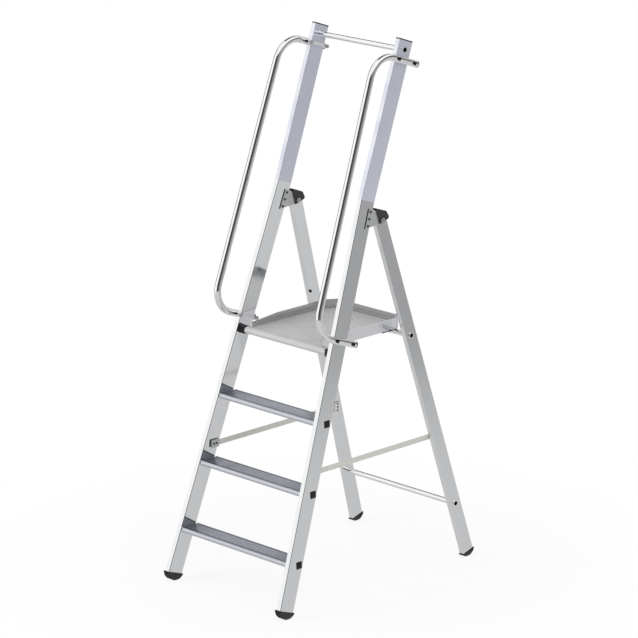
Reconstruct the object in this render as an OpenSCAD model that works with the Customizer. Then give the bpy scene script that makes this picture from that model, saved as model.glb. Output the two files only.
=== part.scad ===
// Folding platform step: flared hollow stiles with treads, a guard bar and bent handrails in front,
// a pair of hinged rear legs behind, and a standing platform that turns about its rolled nose.
// X runs along the treads, +Y towards the rear legs, +Z up, with the floor at Z = 0.

/* [Steps] */
// Height from the floor to the first tread
first_rise = 197; // [170:1:240]
// Height from one tread to the next
step_rise = 240; // [200:1:260]
// Depth of a tread, nose to back
tread_depth = 81; // [70:1:95]
// Thickness of the rounded tread nose
tread_nose = 19; // [14:0.5:24]
// Thickness of the tread plate, ribs included
tread_plate = 3.6; // [3:0.1:6]
// Depth of the grooves between the ribs
rib_h = 1.2; // [0.6:0.1:1.6]
// Side of the square tube under each tread
core_size = 25; // [20:0.5:30]
// Wall of that square tube
core_wall = 2; // [1.5:0.1:3]

/* [Stiles] */
// Angle of the stiles from the vertical, in degrees
stile_lean = 19.3; // [15:0.1:23]
// Depth of the stile section
stile_depth = 68; // [58:1:80]
// Thickness of the stile section
stile_t = 21; // [18:0.5:28]
// Wall of the stile section
stile_wall = 1.6; // [1.2:0.1:2.5]
// Outside width of the stiles at the floor
base_w = 606; // [560:1:660]
// Sideways flare of each stile and leg, in degrees
flare = 3.1; // [2:0.1:4]
// Distance along the stile from the hinge pin to the bend above it
bend_rise = 53; // [45:1:120]
// Easing of the corners of the stile and leg sections
section_ease = 1.4; // [0.8:0.1:3]

/* [Rear legs] */
// Angle of the legs from the vertical, in degrees
leg_lean = 16.6; // [13:0.1:20]
// Depth of the leg section
leg_depth = 55; // [46:1:64]
// Thickness of the leg section
leg_t = 18; // [15:0.5:20]
// Wall of the leg section
leg_wall = 1.6; // [1.2:0.1:2.5]
// Height of the tie rod's axis above the floor
tie_height = 216; // [150:1:320]
// Diameter of the tie rod and the platform rest rod
rod_d = 20; // [16:0.5:24]

/* [Hinges] */
// Height of the hinge pin above the platform
hinge_height = 429; // [390:1:470]
// Distance of the hinge pin behind the stile's back face
hinge_back = 51.5; // [48:0.5:60]
// Diameter of the hinge pin
pin_d = 10; // [8:0.5:12]
// Thickness of the hinge plates
plate_t = 3; // [2:0.1:4]
// How far a hinge plate laps onto the stile
plate_lap = 24; // [20:0.5:30]
// Diameter of the plate rivets
rivet_d = 6; // [4:0.5:8]
// Pitch of the plate rivets
rivet_pitch = 26; // [22:0.5:28]

/* [Guard bar] */
// Height of the guard bar above the platform
guard_height = 1026; // [950:1:1100]
// Diameter of the guard bar
bar_d = 20; // [16:0.5:26]
// Distance of the guard bar below the stile's top
bar_drop = 32; // [26:0.5:44]

/* [Handrails] */
// Diameter of the handrail tube
rail_d = 25; // [20:0.5:30]
// Wall of the handrail tube and of the round bars
tube_wall = 1.6; // [1.2:0.1:2.5]
// Distance of the rail's axis in front of the stile
rail_reach = 117; // [95:1:140]
// Centreline radius of the rail's bends
rail_bend = 92; // [45:1:95]
// Distance along the stile from the platform's pivot to the lower rail end
rail_lift = 48; // [40:1:110]
// Distance along the stile from the guard bar down to the upper rail end
rail_drop = 38; // [32:1:80]
// Distance that a rail end runs past the stile's back face
rail_tail = 29; // [24:0.5:40]
// Diameter of the clamp bolts
clamp_bolt_d = 8; // [6:0.5:9]
// Height of the clamp bars
clamp_bar_h = 12; // [10:0.5:18]
// Thickness of the clamp bars
clamp_bar_t = 5; // [3:0.1:7]

/* [Platform] */
// Gap between the platform's nose and each stile
deck_gap = 24.8; // [18:0.1:40]
// How far the kick rim stands in from the nose's ends
rim_inset = 24; // [16:0.5:36]
// How far the platform runs past the middle of its rest rod
deck_overhang = 27; // [18:1:45]
// Thickness of the deck sheet
deck_t = 3; // [2:0.1:4]
// Diameter of the rolled nose that the platform turns about
nose_d = 26; // [20:0.5:28]
// Distance of the pivot behind the stile's front face
pivot_back = 26; // [18:0.5:34]
// Height of the kick rim above the deck
kick_h = 33; // [20:1:50]
// Thickness of the kick rim
rim_t = 2.5; // [1.5:0.1:4]
// Diameter of the platform's pivot pins
pivot_d = 10; // [8:0.5:12]

/* [Straps] */
// Height of the straps above the second tread
strap_lift = 54; // [40:1:120]
// Width of the strap webbing
strap_w = 20; // [16:0.5:30]
// Thickness of the strap webbing
strap_t = 2; // [1:0.1:3]

/* [Feet] */
// Height of the rounded front feet below the stile ends
front_foot_h = 28; // [22:0.5:32]
// Height of the rounded rear feet below the leg ends
rear_foot_h = 17; // [14:0.5:24]
// How far a foot stands out in front of and behind its section
foot_lip = 4; // [2:0.5:8]
// How far a foot stands out on each side of its section
foot_side = 3; // [1:0.5:6]
// Depth of the flat worn under each foot
foot_flat = 1; // [0.5:0.1:3]

/* [Hidden] */
$fn = 48;

// Clearances
run_clear = 0.05;
slip_clear = 0.3;
// Room beyond the object for cutting shapes, and how far a cut runs past what it cuts
beyond = 400;
over = 1;

// Directions of the stile and the leg, seen from the side
stile_sin = sin(stile_lean);
stile_cos = cos(stile_lean);
leg_sin = sin(leg_lean);
leg_cos = cos(leg_lean);
fold_angle = stile_lean + leg_lean;

// Corners of the sections' bores
bore_ease = section_ease / 4;

// Side view place of a point across and along the stile
function stile_y(across, along) = across * stile_cos + along * stile_sin;
// Across and along distances of a side view place
function across_at(y, z) = y * stile_cos - z * stile_sin;
function along_at(y, z) = y * stile_sin + z * stile_cos;
// Distance along the stile of a height, at a distance across it
function along_of(z, across) = (z + across * stile_sin) / stile_cos;

// Tread and platform levels
tread_count = 3;
tread_setback = 1;
function tread_z(i) = first_rise + step_rise * (i - 1);
function tread_y(i) = tread_z(i) * tan(stile_lean) + tread_setback;
deck_z = tread_z(tread_count + 1);

// Hinge pin, bend and guard bar
hinge_across = stile_depth + hinge_back;
hinge_along = along_of(deck_z + hinge_height, hinge_across);
hinge_y = stile_y(hinge_across, hinge_along);
hinge_z = deck_z + hinge_height;
bend_along = hinge_along + bend_rise;
bar_set_back = 2;
bar_across = stile_depth / 2 + bar_set_back;
bar_along = along_of(deck_z + guard_height, bar_across);
stile_len = bar_along + bar_drop;
// Outer face of a stile at a distance along it
function stile_x(along) = base_w / 2 - tan(flare) * min(along, bend_along);
hinge_x = stile_x(hinge_along) - stile_t / 2;
// Middle of a leg at a distance up it from the hinge pin
function leg_x(along) = hinge_x - tan(flare) * along;

// Rounded feet: an arc on the section's end, cut flat at the floor
front_half = stile_depth / 2 + foot_lip;
front_r = (front_half * front_half + front_foot_h * front_foot_h) / (2 * front_foot_h);
front_centre = (front_r - foot_flat + stile_depth / 2 * stile_sin) / stile_cos;
front_end = front_centre - front_r + front_foot_h;
rear_half = leg_depth / 2 + foot_lip;
rear_r = (rear_half * rear_half + rear_foot_h * rear_foot_h) / (2 * rear_foot_h);
rear_centre = (rear_r - foot_flat - hinge_z) / leg_cos;
rear_end = rear_centre - rear_r + rear_foot_h;
foot_plug = 28;

// The middle of the footprint, which is the origin
front_round = asin(front_half / front_r) >= 90 - stile_lean;
front_most = front_round ? stile_y(stile_depth / 2, front_centre) - front_r
    : stile_y(-foot_lip, front_end);
rear_round = asin(rear_half / rear_r) >= 90 - leg_lean;
rear_most = hinge_y + (rear_round ? rear_r - rear_centre * leg_sin
    : rear_half * leg_cos - rear_end * leg_sin);
y_mid = (front_most + rear_most) / 2;

// Treads
tread_lip_t = 3;
tread_lip_h = 12;
core_from_nose = 46;
core_drop = 1.9;
rib_pitch = 4.6;
rib_groove = 2.2;
plug_flange = 2;
plug_shank = 10;
plug_slack = 1.2;
core_z = -core_drop - core_size / 2;

// Platform pivot
pivot_z = deck_z - nose_d / 2;
pivot_along = along_of(pivot_z, pivot_back);
pivot_y = stile_y(pivot_back, pivot_along);
// Width of the platform's nose
nose_w = 2 * (stile_x(pivot_along) - stile_t - deck_gap);
// Outside width of its kick rim
deck_w = nose_w - 2 * rim_inset;

// Stile top caps
cap_t = 4;
cap_lip = 0.8;
cap_plug = 18;

// Guard bar and rods
flare_ring = 3.5;
flare_ring_t = 1.5;
bead_ring = 3;
bead_t = 4;

// Handrails, from a whole number of millimetres between their two ends
rail_high = bar_along - rail_drop;
rail_span = round(rail_high - pivot_along - rail_lift);
rail_low_x = stile_x(rail_high - rail_span) + rail_d / 2 / cos(flare) + run_clear;
rail_high_x = stile_x(rail_high) + rail_d / 2 + run_clear;
rail_tilt = asin((rail_low_x - rail_high_x) / rail_span);
rail_low = rail_high - rail_span * cos(rail_tilt);
clamp_bolt_gap = 4;
clamp_off = clamp_bolt_d / 2 + clamp_bolt_gap;
clamp_bar_end = 9;
clamp_head_d = 1.7 * clamp_bolt_d;
clamp_head_h = 4;
nut_h = 6;
nut_gap = 1;
bolt_tail = 0.5;
rail_plug_t = 4;
rail_plug_shank = 10;

// Hinge plates and leg caps
plate_end_r = 14;
plate_waist = 13;
plate_rise = 28;
plate_fall = 46;
plate_shoulder = 4;
rivet_edge = 13;
rivet_rows = 3;
rivet_head_d = 1.5 * rivet_d;
rivet_head_h = 2.5;
rivet_top = 18;
stop_gap = 0.4;
cap_rise = 34.5;
cap_back = 10.6;
cap_corner = [29.6, 18.5];
cap_drop = 9;
cap_sleeve = 3;
cap_nose_h = 25;
cheek_front = 15.6;
cheek_t = 3;
cheek_clear = 1;
sweep_clear = 1.5;
sweep_steps = 3;
leg_top = 14;
cap_seat = leg_top + leg_t / 2 * tan(flare) + run_clear;
cap_stub = 30;
pin_head_d = 18;
pin_head_h = 3;
pin_head_clear = 1.2;
pin_hollow = 3;
pin_hollow_floor = 1;
plate_out = stile_t / 2 + plate_t;
cheek_in = plate_out + cheek_clear;
cheek_out = cheek_in + cheek_t;
// Turns a side view offset from the hinge pin into the leg's own directions
function to_leg(p) = [p[0] * cos(fold_angle) + p[1] * sin(fold_angle),
    p[1] * cos(fold_angle) - p[0] * sin(fold_angle)];

// Platform
nose_wall = 2.5;
// The strip over the nose, and how far forward and how deep the kick rim is let into it
strip_gap = 1.5;
strip_y = nose_d / 2 + strip_gap;
rim_front = 0.5;
slot_depth = 2;
// Height of the rim at the nose and of the deck's turned-up sides, as parts of the kick height
kick_front_h = 0.64 * kick_h;
flange_h = 0.6 * kick_h;
// Length over which the rim tapers down towards the nose
kick_taper = 135;
rim_drop = 8;
corner_x = 26;
corner_y = 38;
flange_t = 2;
pad_t = 3.7;
pad_len = 108;
pad_side = 1;
rim_notch = 145;
rim_rivet_d = 5;
rim_head_d = 2 * rim_rivet_d;
rim_head_h = 1.5;
rim_rivet_from = [150, 300];
rim_rivet_up = flange_h - rim_head_d / 2 - slip_clear;
block_len = deck_gap - slip_clear;
block_d = 24;
block_h = 26;
pin_in_block = 15;
pin_in_bush = 22;
bush_len = 26;

// Rods on the legs, placed by the platform and by the tie height
rest_z = deck_z - rim_drop - pad_t - slip_clear - rod_d / 2;
rest_along = (rest_z - hinge_z) / leg_cos;
tie_along = (tie_height - hinge_z) / leg_cos;
rest_y = hinge_y - rest_along * leg_sin;
// Distance from the platform's pivot to its back face
deck_reach = rest_y - pivot_y + deck_overhang;

// Straps: their outer face lies against the narrower of stile and leg
strap_height = tread_z(2) + strap_lift;
strap_top = strap_height + strap_w / 2;
anchor_back = 15;
strap_from_y = strap_height * tan(stile_lean) + stile_depth / 2 + anchor_back;
strap_along = along_at(strap_from_y, strap_height);
leg_strap_along = (strap_height - hinge_z) / leg_cos;
leg_strap_y = hinge_y - leg_strap_along * leg_sin;
stile_face = stile_x(along_of(strap_top, stile_depth)) - stile_t;
leg_front_along = (strap_top - hinge_z + leg_depth / 2 * leg_sin) / leg_cos;
leg_face = leg_x(leg_front_along) - leg_t / 2 / cos(flare);
strap_x = min(stile_face, leg_face) - strap_t - slip_clear;
anchor_t = 2;
anchor_w = 38;
anchor_h = 30;
strap_plate_w = 26;
strap_plate_h = 38;
strap_rivet_d = 4;
strap_rivet_pitch = 13;
strap_head_d = 2 * strap_rivet_d;
leg_strap_head_d = 1.5 * strap_rivet_d;
strap_head_h = 2;
// How far a blind fixing runs on behind the wall that it holds in
blind_tail = 2;
strap_end = 12;
// Where the plates over the strap ends carry the rivet heads
strap_seat = strap_x - slip_clear - anchor_t;

// Leg buffers
buffer_along = -376;
buffer_y = -20;
buffer_d = 10;
buffer_h = 5;
buffer_shank_d = 5;

// Places a side view built from the floor's front edge about the origin
module placed() translate([0, -y_mid, 0]) children();
// Stile directions: X across the frame, Y across the stile's depth, Z along the stile
module on_stile() placed() rotate([-stile_lean, 0, 0]) children();
// Leg directions, from the hinge pin: Z up along the leg
module on_leg() placed() translate([0, hinge_y, hinge_z]) rotate([leg_lean, 0, 0]) children();
// The right side as drawn, the left side mirrored
module on_side(side) {
    if (side == "left") mirror([1, 0, 0]) children();
    else children();
}
module both_sides() {
    children();
    mirror([1, 0, 0]) children();
}
// Tilts a shape with the flare, about a place on the stile's outer face
module flared(along) translate([stile_x(along), 0, along])
    rotate([0, along < bend_along ? -flare : 0, 0]) children();
// Tilts a shape with the flare, about the middle of the leg at the hinge
module flared_leg() translate([hinge_x, 0, 0]) rotate([0, -flare, 0]) children();
// Extrudes a side view outline across the frame, from one place to another
module across_frame(from, to) translate([from, 0, 0]) rotate([90, 0, 90])
    linear_extrude(to - from) children();
// A bar along X
module x_bar(d, from, to) translate([from, 0, 0]) rotate([0, 90, 0]) cylinder(d = d, h = to - from);
// A bar along Y
module y_bar(d, from, to) translate([0, from, 0]) rotate([-90, 0, 0]) cylinder(d = d, h = to - from);
// A rectangle with eased corners, from a corner at the origin
function eased_ring(w, d, e) = [[e, 0], [w - e, 0], [w, e], [w, d - e],
    [w - e, d], [e, d], [0, d - e], [0, e]];
module eased_rect(w, d, e) polygon(eased_ring(w, d, e));

// A stile section, inset by a wall, running up to the bend and on to the top
module stile_bar(inset, from, to, ease) {
    ring = eased_ring(stile_t - 2 * inset, stile_depth - 2 * inset, ease);
    count = len(ring);
    polyhedron(
        [for (s = [from, bend_along, to]) for (p = ring)
            [stile_x(s) - stile_t + inset + p[0], inset + p[1], s]],
        [[for (i = [0 : count - 1]) i], [for (i = [count - 1 : -1 : 0]) 2 * count + i],
        for (k = [0, count]) for (i = [0 : count - 1]) let (next = (i + 1) % count)
            [k + i, k + count + i, k + count + next, k + next]]);
}

module stile(side) color("#c9ccd1") on_stile() on_side(side) difference() {
    stile_bar(0, front_end, stile_len, section_ease);
    stile_bar(stile_wall, front_end - over, stile_len + over, bore_ease);
    for (i = [1 : tread_count]) tread_core_hole(i);
    translate([0, bar_across, bar_along]) x_bar(bar_d + 2 * run_clear, 0, base_w);
    plate_rivet_places() x_bar(rivet_d + 2 * run_clear, -2 * stile_t, stile_t);
    rotate([stile_lean, 0, 0]) strap_rivet_places()
        x_bar(strap_rivet_d + 2 * run_clear, strap_x - stile_t, stile_x(strap_along) - stile_t / 2);
}
module left_stile() stile("left");
module right_stile() stile("right");

// The square hole that a tread's core passes through
module tread_core_hole(i) rotate([stile_lean, 0, 0])
    translate([0, tread_y(i) + core_from_nose, tread_z(i) + core_z])
        rotate([0, 90, 0]) linear_extrude(base_w) square(core_size + 2 * slip_clear, center = true);

// A plug that fills the stile's hollow, upwards from the origin on the stile's outer face
module stile_plug(h) translate([stile_wall + slip_clear - stile_t, stile_wall + slip_clear, 0])
    cube([stile_t - 2 * (stile_wall + slip_clear), stile_depth - 2 * (stile_wall + slip_clear), h]);
module stile_top_cap(side) color("#1d1d1f") on_stile() on_side(side)
    translate([stile_x(stile_len), 0, stile_len]) {
        translate([-stile_t - cap_lip, -cap_lip, 0]) linear_extrude(cap_t)
            eased_rect(stile_t + 2 * cap_lip, stile_depth + 2 * cap_lip, section_ease + cap_lip);
        translate([0, 0, -cap_plug]) stile_plug(cap_plug);
    }
module left_top_cap() stile_top_cap("left");
module right_top_cap() stile_top_cap("right");

// A rounded foot in side view: an arc below the section's end
module foot_outline(r, centre, end, middle) intersection() {
    translate([middle, centre]) circle(r);
    translate([middle - r, centre - 2 * r]) square([2 * r, end - centre + 2 * r]);
}
// All that lies under the floor
module under_floor() translate([-base_w, -2 * beyond, -beyond]) cube([2 * base_w, 6 * beyond, beyond]);

module front_foot(side) color("#1b1b1d") difference() {
    on_stile() on_side(side) {
        across_frame(stile_x(front_end) - stile_t - foot_side, stile_x(front_end) + foot_side)
            foot_outline(front_r, front_centre, front_end, stile_depth / 2);
        intersection() {
            flared(front_end) translate([0, 0, -foot_plug]) stile_plug(2 * foot_plug);
            translate([0, 0, front_end]) cube([base_w, stile_depth, foot_plug]);
        }
    }
    under_floor();
}
module left_front_foot() front_foot("left");
module right_front_foot() front_foot("right");

// A tread's section: rolled nose, ribbed plate, back lip
module tread_outline() difference() {
    union() {
        translate([tread_nose / 2, -tread_nose / 2]) circle(d = tread_nose);
        translate([tread_nose / 2, -tread_plate]) square([tread_depth - tread_nose / 2, tread_plate]);
        translate([tread_depth - tread_lip_t, -tread_lip_h]) square([tread_lip_t, tread_lip_h]);
        core_outline(core_size);
    }
    translate([tread_nose / 2, -tread_nose / 2]) circle(d = tread_nose - 2 * core_wall);
    core_outline(core_size - 2 * core_wall);
    for (y = [tread_nose : rib_pitch : tread_depth - rib_pitch])
        translate([y, -rib_h]) square([rib_groove, rib_h + over]);
}
module core_outline(size) translate([core_from_nose, core_z]) square(size, center = true);
// The space between the stiles' inner faces
module between_stiles() on_stile() translate([0, 2 * beyond, 0]) rotate([90, 0, 0])
    linear_extrude(3 * beyond) polygon([for (s = [-beyond, bend_along, stile_len]) [stile_x(s) - stile_t, s],
        for (s = [stile_len, bend_along, -beyond]) [stile_t - stile_x(s), s]]);

module tread(i) color("#b4b7bd") {
    intersection() {
        placed() translate([0, tread_y(i), tread_z(i)])
            across_frame(-base_w / 2, base_w / 2) tread_outline();
        between_stiles();
    }
    end = stile_x(along_at(tread_y(i) + core_from_nose, tread_z(i) + core_z) + core_size) - slip_clear;
    start = end - stile_t - core_size;
    placed() translate([0, tread_y(i), tread_z(i)]) both_sides() across_frame(start, end) difference() {
        core_outline(core_size);
        core_outline(core_size - 2 * core_wall);
    }
}
module tread_1() tread(1);
module tread_2() tread(2);
module tread_3() tread(3);

module tread_end_plugs() color("#1b1b1d") on_stile() both_sides() for (i = [1 : tread_count]) {
    plug_y = tread_y(i) + core_from_nose;
    plug_z = tread_z(i) + core_z;
    shank = core_size - 2 * core_wall - 2 * plug_slack;
    translate([0, across_at(plug_y, plug_z), 0]) flared(along_at(plug_y, plug_z))
        rotate([stile_lean, 0, 0]) {
            translate([0, -core_size / 2, -core_size / 2]) cube([plug_flange, core_size, core_size]);
            translate([-plug_shank, -shank / 2, -shank / 2]) cube([plug_shank, shank, shank]);
        }
}

module guard_bar() color("#d5d8dc") on_stile() translate([0, bar_across, bar_along]) difference() {
    face = stile_x(bar_along);
    union() {
        x_bar(bar_d, -face - flare_ring_t, face + flare_ring_t);
        both_sides() x_bar(bar_d + 2 * flare_ring, face, face + flare_ring_t);
        both_sides() x_bar(bar_d + 2 * bead_ring, face - stile_t - bead_t, face - stile_t);
    }
    x_bar(bar_d - 2 * tube_wall, -base_w, base_w);
}

// Rail directions: from the lower clamp, Y across the stile's depth, Z along the rail's run
module on_rail() translate([rail_low_x, 0, rail_low]) rotate([0, -rail_tilt, 0]) children();
// The ring section of the handrail tube
module rail_ring() difference() {
    circle(d = rail_d);
    circle(d = rail_d - 2 * tube_wall);
}
// The handrail's tube: two straight ends, two bends and the run between them
module rail_tube() {
    corner = rail_reach - rail_bend;
    for (z = [0, rail_span]) translate([0, -corner, z]) rotate([-90, 0, 0])
        linear_extrude(corner + stile_depth + rail_tail) rail_ring();
    translate([0, -rail_reach, rail_bend]) linear_extrude(rail_span - 2 * rail_bend) rail_ring();
    translate([0, -corner, rail_bend]) rail_elbow(180);
    translate([0, -corner, rail_span - rail_bend]) rail_elbow(90);
}
module rail_elbow(turn) rotate([90, 0, 90]) rotate([0, 0, turn])
    rotate_extrude(angle = 90) translate([rail_bend, 0]) rotate(180) rail_ring();
// The places of the clamp bolts
module clamp_bolt_places() for (s = [[rail_low_x, rail_low], [rail_high_x, rail_high]])
    for (q = [-clamp_off, stile_depth + clamp_off]) translate([s[0], q, s[1]]) children();

module handrail(side) color("#dfe2e6") on_stile() on_side(side) difference() {
    on_rail() rail_tube();
    clamp_bolt_places() x_bar(clamp_bolt_d + 2 * run_clear, -rail_d, rail_d);
}
module left_handrail() handrail("left");
module right_handrail() handrail("right");

module handrail_end_plugs() color("#1b1b1d") on_stile() both_sides() on_rail() for (z = [0, rail_span])
    translate([0, stile_depth + rail_tail, z]) {
        y_bar(rail_d, 0, rail_plug_t);
        y_bar(rail_d - 2 * (tube_wall + slip_clear), -rail_plug_shank, 0);
    }

module clamp_bars() color("#c4c7cb") on_stile() both_sides() difference() {
    for (s = [rail_low, rail_high]) flared(s)
        translate([-stile_t - clamp_bar_t, -clamp_off - clamp_bar_end, -clamp_bar_h / 2])
            cube([clamp_bar_t, stile_depth + 2 * (clamp_off + clamp_bar_end), clamp_bar_h]);
    clamp_bolt_places() x_bar(clamp_bolt_d + 2 * run_clear, -base_w, rail_d);
}
// Where the nuts meet a clamp bar, measured from the rail's axis
nut_face = -rail_d / 2 - run_clear - stile_t - clamp_bar_t - nut_gap;
module clamp_bolts() color("#7d8085") on_stile() both_sides() clamp_bolt_places() {
    x_bar(clamp_bolt_d, nut_face - nut_h - bolt_tail, rail_d / 2 + clamp_head_h / 2);
    translate([rail_d / 2 + run_clear, 0, 0]) x_bar(clamp_head_d, 0, clamp_head_h);
}
module clamp_nuts() color("#6d7075") on_stile() both_sides() clamp_bolt_places()
    translate([nut_face - nut_h, 0, 0]) difference() {
        rotate([0, 90, 0]) cylinder(d = clamp_head_d, h = nut_h, $fn = 6);
        x_bar(clamp_bolt_d + 2 * run_clear, -over, nut_h + over);
    }

// A hinge plate in side view, about the hinge pin
module plate_outline(grow) {
    front = stile_depth - plate_lap - hinge_across - grow;
    circle(plate_end_r + grow);
    polygon([[0, -plate_waist - grow], [0, plate_waist + grow],
        [plate_shoulder - hinge_back, plate_rise + grow],
        [front, plate_rise + grow], [front, -plate_fall - grow]]);
}
// The places of the rivets of each plate pair, one above the other
module plate_rivet_places() flared(hinge_along) for (i = [0 : rivet_rows - 1])
    translate([0, stile_depth - rivet_edge, rivet_top - i * rivet_pitch]) children();
module hinge_plate(side, from) color("#a9adb0") on_stile() on_side(side) difference() {
    flared(hinge_along) translate([0, hinge_across, 0]) across_frame(from, from + plate_t) plate_outline(0);
    plate_rivet_places() x_bar(rivet_d + 2 * run_clear, -2 * stile_t, stile_t);
    translate([0, hinge_across, hinge_along]) x_bar(pin_d + 2 * run_clear, 0, base_w);
}
module left_outer_hinge_plate() hinge_plate("left", 0);
module left_inner_hinge_plate() hinge_plate("left", -stile_t - plate_t);
module right_outer_hinge_plate() hinge_plate("right", 0);
module right_inner_hinge_plate() hinge_plate("right", -stile_t - plate_t);

module hinge_plate_rivets() color("#3c3e42") on_stile() both_sides() plate_rivet_places() {
    x_bar(rivet_d, -stile_t - plate_t - rivet_head_h, plate_t + rivet_head_h);
    x_bar(rivet_head_d, plate_t, plate_t + rivet_head_h);
    x_bar(rivet_head_d, -stile_t - plate_t - rivet_head_h, -stile_t - plate_t);
}
module hinge_pins() color("#c8cacc") on_stile() both_sides()
    translate([hinge_x, hinge_across, hinge_along]) {
        reach = cheek_out + pin_head_clear;
        x_bar(pin_d, -reach, reach);
        both_sides() difference() {
            x_bar(pin_head_d, reach, reach + pin_head_h);
            x_bar(pin_d - pin_hollow, reach + pin_hollow_floor, reach + 2 * pin_head_h);
        }
    }

module pivot_block(side) color("#1b1b1d") on_side(side) difference() {
    inner = stile_x(pivot_along) - stile_t;
    intersection() {
        placed() translate([inner - block_len, pivot_y - block_d / 2, pivot_z - block_h / 2])
            cube([2 * block_len, block_d, block_h]);
        between_stiles();
    }
    placed() translate([0, pivot_y, pivot_z])
        x_bar(pivot_d + 2 * run_clear, inner - 2 * block_len, inner - block_len + pin_in_block);
}
module left_pivot_block() pivot_block("left");
module right_pivot_block() pivot_block("right");
module platform_pivot_pins() color("#8c9095") placed() both_sides() translate([0, pivot_y, pivot_z])
    x_bar(pivot_d, nose_w / 2 - pin_in_bush, stile_x(pivot_along) - stile_t - block_len + pin_in_block);

// The rivets that hold a strap's front end, side by side
module strap_rivet_places() for (i = [-1, 1])
    translate([0, strap_from_y + i * strap_rivet_pitch / 2, strap_height]) children();
module strap_anchor(side) color("#9da1a6") placed() on_side(side) difference() {
    translate([strap_seat, strap_from_y - anchor_w / 2, strap_height - anchor_h / 2])
        cube([anchor_t, anchor_w, anchor_h]);
    strap_rivet_places() x_bar(strap_rivet_d + 2 * run_clear, 0, base_w);
}
module left_strap_anchor() strap_anchor("left");
module right_strap_anchor() strap_anchor("right");
module strap_anchor_rivets() color("#55585d") placed() both_sides() strap_rivet_places() {
    x_bar(strap_rivet_d, strap_seat - strap_head_h / 2,
        stile_x(strap_along) - stile_t + stile_wall + blind_tail);
    x_bar(strap_head_d, strap_seat - strap_head_h, strap_seat);
}

// A leg section, inset by a wall, cut square to the leg at both ends
module leg_bar(inset, from, to, ease) intersection() {
    flared_leg() translate([inset - leg_t / 2, inset - leg_depth / 2, from - beyond])
        linear_extrude(to - from + 2 * beyond) eased_rect(leg_t - 2 * inset, leg_depth - 2 * inset, ease);
    translate([0, -leg_depth, from]) cube([base_w, 2 * leg_depth, to - from]);
}
module leg(side) color("#c9ccd1") on_leg() on_side(side) difference() {
    leg_bar(0, rear_end, leg_top, section_ease);
    leg_bar(leg_wall, rear_end - over, leg_top + over, bore_ease);
    x_bar(pin_d + 2 * run_clear, 0, base_w);
    for (z = [rest_along, tie_along]) translate([0, 0, z]) x_bar(rod_d + 2 * run_clear, 0, base_w);
    rotate([-leg_lean, 0, 0]) translate([0, -hinge_y, -hinge_z]) leg_strap_rivet_places()
        x_bar(strap_rivet_d + 2 * run_clear, 0, leg_x(leg_strap_along));
    translate([0, buffer_y, buffer_along]) x_bar(buffer_shank_d + 2 * run_clear, 0, leg_x(buffer_along));
}
module left_leg() leg("left");
module right_leg() leg("right");

// The leg cap in side view: a nose that stops on the stile's back, a sloped top and a short sleeve
module leg_cap_outline() polygon([
    to_leg([stop_gap - hinge_back, cap_rise]), to_leg([cap_back, cap_rise]), to_leg(cap_corner),
    [leg_depth / 2 + cap_sleeve, -cap_drop], [-cheek_front, -cap_drop],
    [-leg_depth / 2, leg_top], to_leg([stop_gap - hinge_back, cap_rise - cap_nose_h])]);
// The part of the outline that covers the ends of the hinge plates
module cheek_outline() intersection() {
    leg_cap_outline();
    translate([-cheek_front, -beyond]) square([beyond, 2 * beyond]);
}
// The room that the hinge plates sweep through, seen from the leg
module plate_sweep() for (i = [0 : sweep_steps]) rotate(-fold_angle * i / sweep_steps)
    plate_outline(sweep_clear);
module leg_cap(side) color("#1d1d1f") on_leg() on_side(side) difference() {
    flared_leg() {
        across_frame(-leg_t / 2, leg_t / 2) difference() {
            leg_cap_outline();
            translate([-leg_depth / 2, -beyond]) square([leg_depth, beyond + cap_seat]);
        }
        for (m = [0, 1]) mirror([m, 0, 0]) {
            across_frame(cheek_in, cheek_out) cheek_outline();
            across_frame(leg_t / 2, cheek_in) difference() {
                cheek_outline();
                plate_sweep();
            }
        }
        stub_w = leg_t - 2 * (leg_wall + slip_clear);
        stub_d = leg_depth - 2 * (leg_wall + slip_clear);
        translate([-stub_w / 2, -stub_d / 2, leg_top - cap_stub]) cube([stub_w, stub_d, cap_stub]);
    }
    x_bar(pin_d + 2 * run_clear, 0, base_w);
}
module left_leg_cap() leg_cap("left");
module right_leg_cap() leg_cap("right");

module rear_foot(side) color("#1b1b1d") difference() {
    on_leg() on_side(side) {
        across_frame(leg_x(rear_end) - leg_t / 2 - foot_side, leg_x(rear_end) + leg_t / 2 + foot_side)
            foot_outline(rear_r, rear_centre, rear_end, 0);
        intersection() {
            stub_w = leg_t - 2 * (leg_wall + slip_clear);
            stub_d = leg_depth - 2 * (leg_wall + slip_clear);
            flared_leg() translate([-stub_w / 2, -stub_d / 2, rear_end - foot_plug])
                cube([stub_w, stub_d, 3 * foot_plug]);
            translate([0, -leg_depth / 2, rear_end]) cube([base_w, leg_depth, foot_plug]);
        }
    }
    under_floor();
}
module left_rear_foot() rear_foot("left");
module right_rear_foot() rear_foot("right");

// A tube between the legs that comes through their outer faces
module leg_rod(along) color("#d5d8dc") on_leg() difference() {
    end = leg_x(along) + (leg_t / 2 + flare_ring_t) / cos(flare);
    translate([0, 0, along]) x_bar(rod_d, -end, end);
    translate([0, 0, along]) x_bar(rod_d - 2 * tube_wall, -base_w, base_w);
}
module platform_rest_rod() leg_rod(rest_along);
module tie_rod() leg_rod(tie_along);
// The lock rings on the rods' ends, against the legs' outer faces
module leg_rod_rings() color("#b9bcc0") on_leg() for (along = [rest_along, tie_along]) difference() {
    both_sides() flared_leg() translate([0, 0, (along - leg_t / 2 * sin(flare)) / cos(flare)])
        x_bar(rod_d + 2 * flare_ring, leg_t / 2, leg_t / 2 + flare_ring_t);
    translate([0, 0, along]) x_bar(rod_d + 2 * run_clear, -base_w, base_w);
}

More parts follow.
